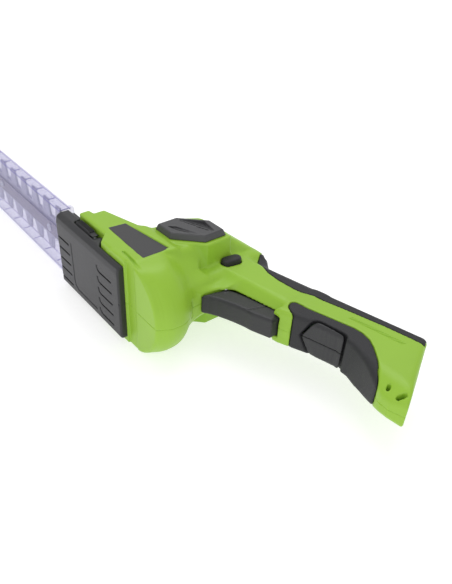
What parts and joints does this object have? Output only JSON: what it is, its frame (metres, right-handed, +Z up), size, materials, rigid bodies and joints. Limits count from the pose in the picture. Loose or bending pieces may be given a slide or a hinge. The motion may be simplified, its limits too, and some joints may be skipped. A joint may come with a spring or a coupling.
{
  "type": "cordless hedge trimmer",
  "caption": "Cordless hedge trimmer: motor head with an in-line pistol grip, a double-sided reciprocating blade on a flat base, and a see-through blade sheath",
  "frame": {"origin": "Middle of the bounding box in X and Y, on the ground under the tool in Z, with the tool lying on its right side.", "axes": "+X runs from the blade tip to the end of the handle, +Y is the top of the tool in use (the motor tower and palm side), +Z is up from the ground, out of the left side of the tool."},
  "size_m": [0.786, 0.1666, 0.0955],
  "materials": {
    "lime_plastic": "satin moulded plastic",
    "charcoal_plastic": "fine grained moulded plastic",
    "grip_rubber": "matt soft grip",
    "label": "smooth printed film",
    "steel": "bright zinc plated",
    "blade_steel": "ground blade steel",
    "brass": "machined",
    "copper_wire": "enamelled copper wire",
    "board": "coated circuit board",
    "sheath": "clear violet-tinted plastic"
  },
  "bodies": {
    "power_head": {"left_housing": "lime_plastic", "right_housing": "lime_plastic", "housing_screws": "steel", "left_vent_cap": "charcoal_plastic", "right_vent_cap": "charcoal_plastic", "side_labels": "label", "palm_pad": "grip_rubber", "grip_overmold": "grip_rubber", "left_grip_panel": "charcoal_plastic", "right_grip_panel": "charcoal_plastic", "lock_off_spring": "steel", "trigger_pin": "steel", "trigger_spring": "steel", "trigger_switch": "charcoal_plastic", "control_board": "board", "terminal_block": "charcoal_plastic", "terminal_blades": "brass", "motor_can": "steel", "motor_end_bell": "charcoal_plastic", "motor_bearings": "steel", "crank_bearings": "steel", "gear_plate": "steel", "blade_base": "charcoal_plastic", "blade_unit_top": "charcoal_plastic", "base_screws": "steel", "latch_spring": "steel", "blade_bar": "steel", "blade_bolts": "steel", "blade_spacers": "steel", "blade_nuts": "steel"},
    "motor_rotor": {"motor_shaft": "steel", "motor_windings": "copper_wire", "cooling_fan": "charcoal_plastic", "pinion": "steel"},
    "crank": {"drive_gear": "brass", "crank_shaft": "steel", "upper_eccentric": "steel", "lower_eccentric": "steel"},
    "trigger_lever": {"trigger": "charcoal_plastic"},
    "lock_off": {"lock_off_button": "grip_rubber"},
    "latch": {"latch_slider": "charcoal_plastic"},
    "upper_cutter": {"upper_blade": "blade_steel", "upper_yoke": "steel"},
    "lower_cutter": {"lower_blade": "blade_steel", "lower_yoke": "steel"},
    "blade_cover": {"sheath": "sheath"}
  },
  "joints": [
    {"name": "crank_spin", "type": "hinge", "parent": "power_head", "child": "crank", "pos_m": [0.142, -0.07525, 0.045], "axis": [0, 1, 0], "continuous": true},
    {"name": "motor_spin", "type": "hinge", "parent": "power_head", "child": "motor_rotor", "pos_m": [0.167, -0.07525, 0.045], "axis": [0, 1, 0], "continuous": true},
    {"name": "trigger_pull", "type": "hinge", "parent": "power_head", "child": "trigger_lever", "pos_m": [0.213, -0.00125, 0.045], "axis": [0, 0, 1], "range_deg": [0, 5.5], "stiffness_Nm_per_rad": 1.5, "springref_deg": -5.73, "deforming": ["trigger_spring"]},
    {"name": "lock_off_press", "type": "slide", "parent": "power_head", "child": "lock_off", "axis": [0, 0, -1], "range_m": [0, 0.003], "stiffness_N_per_m": 500, "springref_m": -0.002, "deforming": ["lock_off_spring"]},
    {"name": "latch_slide", "type": "slide", "parent": "power_head", "child": "latch", "axis": [1, 0, 0], "range_m": [0, 0.003], "stiffness_N_per_m": 800, "springref_m": -0.001, "deforming": ["latch_spring"]},
    {"name": "upper_stroke", "type": "slide", "parent": "power_head", "child": "upper_cutter", "axis": [1, 0, 0], "range_m": [-0.007, 0.007]},
    {"name": "lower_stroke", "type": "slide", "parent": "power_head", "child": "lower_cutter", "axis": [1, 0, 0], "range_m": [-0.007, 0.007]},
    {"name": "sheath_slide", "type": "slide", "parent": "power_head", "child": "blade_cover", "axis": [-1, 0, 0], "range_m": [0, 0.44]}
  ],
  "couplings": [
    {"joint": "motor_spin", "follows": "crank_spin", "ratio": -4.5556},
    {"joint": "lower_stroke", "follows": "upper_stroke", "ratio": -1}
  ]
}
